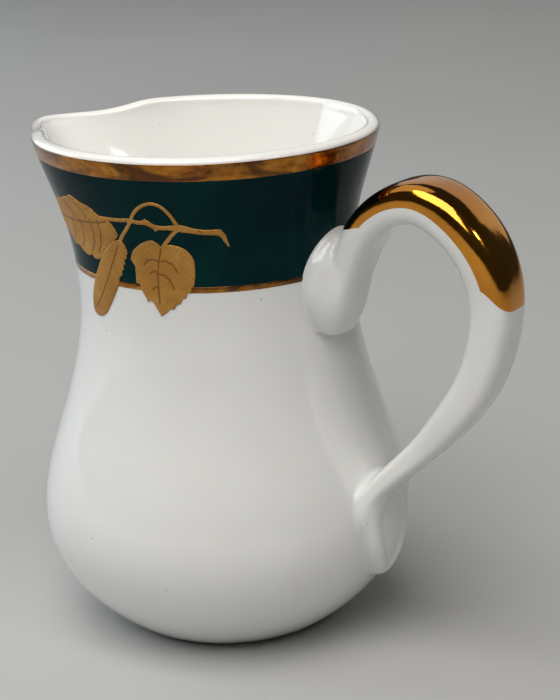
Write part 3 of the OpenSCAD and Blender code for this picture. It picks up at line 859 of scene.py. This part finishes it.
class Shader:
    """A material's node tree with short ways to add and join nodes."""

    def __init__(self, name, **values):
        self.material = bpy.data.materials.new(name)
        self.material.use_nodes = True
        self.tree = self.material.node_tree
        self.surface = self.tree.nodes["Principled BSDF"]
        self.set(self.surface, values)

    def set(self, node, values):
        for key, value in values.items():
            node.inputs[key.replace("_", " ")].default_value = value

    def add(self, kind, values=None, **settings):
        node = self.tree.nodes.new("ShaderNode" + kind)
        for key, value in settings.items():
            setattr(node, key, value)
        self.set(node, values or {})
        return node

    def join(self, out, into):
        self.tree.links.new(out, into)

    def place(self):
        """Object coordinates, in metres."""
        return self.add("TexCoord").outputs["Object"]

    def noise(self, vector, scale, detail=4.0, roughness=0.55, distortion=0.0):
        node = self.add("TexNoise", {"Scale": scale, "Detail": detail, "Roughness": roughness,
                                     "Distortion": distortion})
        self.join(vector, node.inputs["Vector"])
        return node.outputs["Fac"]

    def ramp(self, value, stops):
        node = self.add("ValToRGB")
        while len(node.color_ramp.elements) < len(stops):
            node.color_ramp.elements.new(0.5)
        for element, (at, colour) in zip(node.color_ramp.elements, stops):
            element.position = at
            element.color = (*colour, 1)
        self.join(value, node.inputs["Fac"])
        return node.outputs["Color"]

    def scaled(self, value, low, high, to_low, to_high):
        node = self.add("MapRange", {"From Min": low, "From Max": high, "To Min": to_low, "To Max": to_high})
        self.join(value, node.inputs["Value"])
        return node.outputs["Result"]

    def feed(self, node, key, value):
        """Joins another node's socket to an input, or sets the input to a number or a colour."""
        socket = node.inputs[key]
        if isinstance(value, bpy.types.NodeSocket):
            self.join(value, socket)
        else:
            socket.default_value = (*value, 1) if isinstance(value, tuple) else value

    def mix(self, factor, a, b, mode="MIX"):
        node = self.add("Mix", data_type="RGBA", blend_type=mode)
        for key, value in (("Factor", factor), ("A", a), ("B", b)):
            self.feed(node, key, value)
        return node.outputs["Result"]

    def math(self, operation, a, b):
        node = self.add("Math", operation=operation)
        self.feed(node, 0, a)
        self.feed(node, 1, b)
        return node.outputs["Value"]

    def attribute(self, name):
        return self.add("Attribute", attribute_name=name).outputs["Fac"]

    def bump(self, height, distance, after=None):
        node = self.add("Bump", {"Strength": 1.0, "Distance": distance})
        self.join(height, node.inputs["Height"])
        if after is not None:
            self.join(after, node.inputs["Normal"])
        return node.outputs["Normal"]

    def finish(self, colour=None, roughness=None, normal=None):
        for value, key in ((colour, "Base Color"), (roughness, "Roughness"), (normal, "Normal")):
            if value is not None:
                self.join(value, self.surface.inputs[key])
        return self.material


def porcelain(name, light, shade):
    """White glazed porcelain: faint cloudiness, soft waves in the glaze and a few tiny iron specks."""
    s = Shader(name, IOR=1.5, Subsurface_Weight=0.12, Subsurface_Scale=0.002, Coat_Weight=0.3,
               Coat_Roughness=0.03, Coat_IOR=1.5)
    s.surface.inputs["Subsurface Radius"].default_value = (1.0, 0.85, 0.7)
    place = s.place()
    cloud = s.ramp(s.noise(place, 28, 3), [(0.35, shade), (0.65, light)])
    specks = s.add("TexVoronoi", {"Scale": SPECK_CELLS})
    s.join(place, specks.inputs["Vector"])
    size = SPECK_SIZE * MM * SPECK_CELLS
    spot = s.scaled(specks.outputs["Distance"], size * 0.6, size, 1, 0)
    colour = s.mix(spot, cloud, (0.16, 0.13, 0.1))
    rough = s.scaled(s.noise(place, 90, 4), 0.3, 0.7, 0.07, 0.13)
    waves = s.bump(s.noise(place, 55, 2, 0.4), 0.00035)
    orange_peel = s.bump(s.noise(place, 700, 2), 0.000012, after=waves)
    return s.finish(colour, rough, orange_peel)


def biscuit_porcelain():
    """Unglazed porcelain where the foot was wiped: matt, a little grey and sandy."""
    s = Shader("biscuit_porcelain", IOR=1.5)
    place = s.place()
    colour = s.ramp(s.noise(place, 900, 6, 0.7), [(0.3, (0.50, 0.47, 0.42)), (0.7, (0.68, 0.65, 0.6))])
    rough = s.scaled(s.noise(place, 300, 3), 0.3, 0.7, 0.7, 0.9)
    return s.finish(colour, rough, s.bump(s.noise(place, 2500, 3), 0.00003))


def enamel():
    """Deep blue-green enamel, glossy, with the faint streaks and clouds of a fired transfer."""
    s = Shader("green_enamel", IOR=1.5, Specular_IOR_Level=0.06)
    place = s.place()
    cloud = s.noise(place, 45, 4, 0.5, 0.6)
    colour = s.ramp(cloud, [(0.3, (0.0, 0.013, 0.019)), (0.5, (0.0, 0.022, 0.025)),
                            (0.72, (0.0, 0.032, 0.028))])
    fine = s.ramp(s.noise(place, 1200, 2), [(0.3, (0.85, 0.85, 0.85)), (0.7, (1, 1, 1))])
    rough = s.scaled(s.noise(place, 130, 4), 0.3, 0.7, 0.06, 0.13)
    waves = s.bump(s.noise(place, 60, 2), 0.0003)
    return s.finish(s.mix(1.0, colour, fine, "MULTIPLY"), rough, waves)


def brushed_gold():
    """Burnished gold of the bands: mottled where the brush left it thin, with streaks along the turn, and
    dark patches that are painted reflections of dark surroundings.
    """
    s = Shader("band_gold", Metallic=1.0, Coat_Weight=0.4, Coat_Roughness=0.12)
    place = s.place()
    stretched = s.add("Mapping", {"Scale": (1, 1, 4)})
    s.join(place, stretched.inputs["Vector"])
    blots = s.noise(stretched.outputs["Vector"], 95, 5, 0.6, 0.8)
    colour = s.ramp(blots, [(0.28, (0.17, 0.04, 0.002)), (0.42, (0.38, 0.13, 0.008)),
                            (0.56, (0.52, 0.2, 0.014)), (0.76, (0.68, 0.34, 0.07))])
    # Dark patches mixed into the gold's colour: painted reflections of dark surroundings.
    painted_dark_reflections = s.noise(stretched.outputs["Vector"], 48, 3, 0.5, 1.2)
    colour = s.mix(s.scaled(painted_dark_reflections, 0.48, 0.6, 0, 0.85), colour, (0.08, 0.022, 0.002))
    wear = s.noise(place, 800, 3, 0.6)
    colour = s.mix(1.0, colour, s.ramp(wear, [(0.3, (0.72, 0.7, 0.66)), (0.6, (1, 1, 1))]), "MULTIPLY")
    rough = s.scaled(blots, 0.3, 0.7, 0.3, 0.16)
    return s.finish(colour, rough, s.bump(s.noise(place, 420, 4), 0.00006, after=s.bump(blots, 0.0004)))


def bright_gold():
    """Mirror-bright gold on the handle, with light rubbing and faint brush waves."""
    s = Shader("bright_gold", Metallic=1.0, Coat_Weight=0.5, Coat_Roughness=0.06)
    place = s.place()
    tone = s.noise(place, 60, 4, 0.55, 0.5)
    colour = s.ramp(tone, [(0.3, (0.56, 0.2, 0.012)), (0.55, (0.72, 0.29, 0.02)), (0.75, (0.84, 0.38, 0.04))])
    rub = s.noise(place, 500, 5, 0.7)
    rough = s.math("ADD", s.scaled(rub, 0.45, 0.75, 0.07, 0.16), s.scaled(tone, 0.4, 0.7, 0.0, 0.05))
    waves = s.bump(s.noise(place, 150, 3), 0.00012)
    return s.finish(colour, rough, s.bump(rub, 0.000006, after=waves))


def matt_gold():
    """Printed matt gold of the sprays: ochre, hatched, with brown veins and a rubbed edge."""
    s = Shader("matt_gold", Metallic=0.55, IOR=1.45)
    place = s.place()
    sheet = s.add("UVMap", uv_map="flat").outputs["UV"]
    cloud = s.noise(place, 160, 5, 0.6)
    colour = s.ramp(cloud, [(0.3, (0.42, 0.19, 0.035)), (0.55, (0.55, 0.27, 0.055)),
                            (0.75, (0.64, 0.35, 0.10))])
    turned = s.add("Mapping", {"Rotation": (0, 0, math.radians(52))})
    s.join(sheet, turned.inputs["Vector"])
    hatch = s.add("TexWave", {"Scale": 17.0, "Distortion": 9.0, "Detail": 4.0, "Detail Scale": 1.6})
    s.join(turned.outputs["Vector"], hatch.inputs["Vector"])
    lines = s.ramp(hatch.outputs["Fac"], [(0.1, (0.93, 0.90, 0.86)), (0.5, (1, 1, 1))])
    colour = s.mix(1.0, colour, lines, "MULTIPLY")
    vein = s.scaled(s.attribute("vein"), 0.10, 0.30, 0.75, 0)
    colour = s.mix(vein, colour, (0.17, 0.07, 0.012))
    pits = s.math("MULTIPLY", s.scaled(s.noise(place, 1100, 4, 0.7), 0.6, 0.67, 0, 1),
                  s.scaled(s.attribute("edge"), 0.2, 1.8, 0.9, 0.15))
    colour = s.mix(pits, colour, (0.06, 0.04, 0.02))
    rough = s.scaled(cloud, 0.3, 0.7, 0.42, 0.56)
    grain = s.bump(s.noise(place, 1800, 3), 0.00003)
    return s.finish(colour, rough, s.bump(hatch.outputs["Fac"], 0.000015, after=grain))


def floor_paper():
    """Plain pale studio paper."""
    s = Shader("studio_paper", Roughness=0.8, Specular_IOR_Level=0.2)
    place = s.place()
    colour = s.ramp(s.noise(place, 3, 3), [(0.3, (0.46, 0.46, 0.45)), (0.7, (0.50, 0.50, 0.49))])
    return s.finish(colour, None, s.bump(s.noise(place, 900, 3), 0.00004))


# ---- stage, light and camera ----

def build_floor():
    """A flat round sheet of pale paper, with its rings closer together near the jug."""
    radius, rings, columns = 2.4, 40, 96
    turn = 2 * np.pi * np.arange(columns) / columns
    circle = np.stack([np.cos(turn), np.sin(turn), np.zeros(columns)], 1)
    points = np.vstack([[0, 0, 0]] + [circle * radius * (i / rings) ** 1.5 for i in range(1, rings + 1)])
    faces = []
    for i in range(rings):
        for j in range(columns):
            a = 1 + i * columns + j
            b = 1 + i * columns + (j + 1) % columns
            faces.append((0, a, b) if i == 0 else (a - columns, a, b, b - columns))
    mesh = bpy.data.meshes.new("floor")
    mesh.from_pydata(points.tolist(), [], faces)
    mesh.materials.append(floor_paper())
    put("floor", mesh)


TARGET = (cad_box[0] + cad_box[1]) / 2   # what the lights look at
WARM = (1.0, 0.98, 0.95)


def area_light(name, azimuth, elevation, distance, size, watts, colour=WARM):
    """A rectangular light that looks at the jug from a direction round it."""
    a, e = math.radians(azimuth), math.radians(elevation)
    way = Vector((math.cos(a) * math.cos(e), math.sin(a) * math.cos(e), math.sin(e)))
    data = bpy.data.lights.new(name, "AREA")
    data.shape = "RECTANGLE"
    data.size, data.size_y = size
    data.energy = watts
    data.color = colour
    lamp = put(name, data)
    lamp.location = TARGET + way * distance
    lamp.rotation_euler = (-way).to_track_quat("-Z", "Y").to_euler()


def build_light():
    """A dim world, four large soft panels, and two small windows that mirror in the glaze."""
    world = bpy.data.worlds.new("studio")
    world.use_nodes = True
    bpy.context.scene.world = world
    sky = world.node_tree.nodes["Background"].inputs
    sky["Color"].default_value = (0.93, 0.96, 1.0, 1)
    sky["Strength"].default_value = 0.03
    area_light("sky_left", -178, 16, 1.2, (1.1, 0.6), 6.0, (0.80, 0.91, 1.0))
    area_light("soft_front", -80, 62, 1.2, (1.1, 1.1), 14.6, (1.0, 0.98, 0.945))
    area_light("soft_back", 100, 26, 1.5, (1.9, 0.8), 2.2)
    area_light("soft_top", 168, 64, 1.2, (1.1, 0.9), 1.9)
    area_light("window_left", -14, 41, 1.1, (0.06, 0.14), 0.32)
    area_light("window_right", -5, 41, 1.1, (0.06, 0.14), 0.32)


# Where the photograph was taken from, fitted to the jug's outline, in metres.
EYE = Vector((0.2229, -0.3074, 0.1861))
LOOK = Vector((-0.5305, 0.7865, -0.3163)).normalized()
ROLL = math.radians(-1.99)
LENS = 93.4


def build_camera():
    level = LOOK.cross(Vector((0, 0, 1))).normalized()
    up = level.cross(LOOK)
    right = math.cos(ROLL) * level + math.sin(ROLL) * up
    top = math.cos(ROLL) * up - math.sin(ROLL) * level
    data = bpy.data.cameras.new("camera")
    data.lens, data.sensor_width = LENS, 36
    camera = put("camera", data)
    turn = Matrix((right, top, -LOOK)).transposed()
    camera.matrix_world = Matrix.Translation(EYE) @ turn.to_4x4()
    bpy.context.scene.camera = camera
    bpy.context.scene.view_settings.view_transform = "Standard"


# ---- assembly ----

build_camera()
build_floor()
build_light()
# The inside's glaze is a lighter, warmer copy of the outside's: painted light that brightens the inside.
build_vessel(porcelain("porcelain_glaze", (0.875, 0.875, 0.86), (0.845, 0.845, 0.83)), biscuit_porcelain(),
             porcelain("porcelain_inside_painted_light", (0.975, 0.96, 0.92), (0.965, 0.95, 0.91)))
band = brushed_gold()
build_coat("enamel_band", LINE_TOP_Z - 0.1, RIM_Z - RIM_GOLD_W + 0.1, ENAMEL_T, "green_band",
           enamel(), 0.4)
build_coat("rim_gold", RIM_Z - RIM_GOLD_W, RIM_Z - 0.02, GOLD_T, "rim_gilding", band, 1.7, 0.03)
build_coat("gold_line", LINE_TOP_Z - LINE_W, LINE_TOP_Z, GOLD_T, "lower_gold_line", band, 2.9)
# The handle's glaze and the slip's are a little darker copies of the vessel's: painted shade on the handle
# and at its joints.
build_handle(porcelain("porcelain_handle_painted_shade", (0.865, 0.865, 0.85), (0.835, 0.835, 0.82)),
             porcelain("luting_slip_painted_shade", (0.86, 0.86, 0.845), (0.83, 0.83, 0.815)))
build_gilding(bright_gold())
leaf_gold = matt_gold()
for side in SPRAY_AT:
    build_spray(side, leaf_gold)
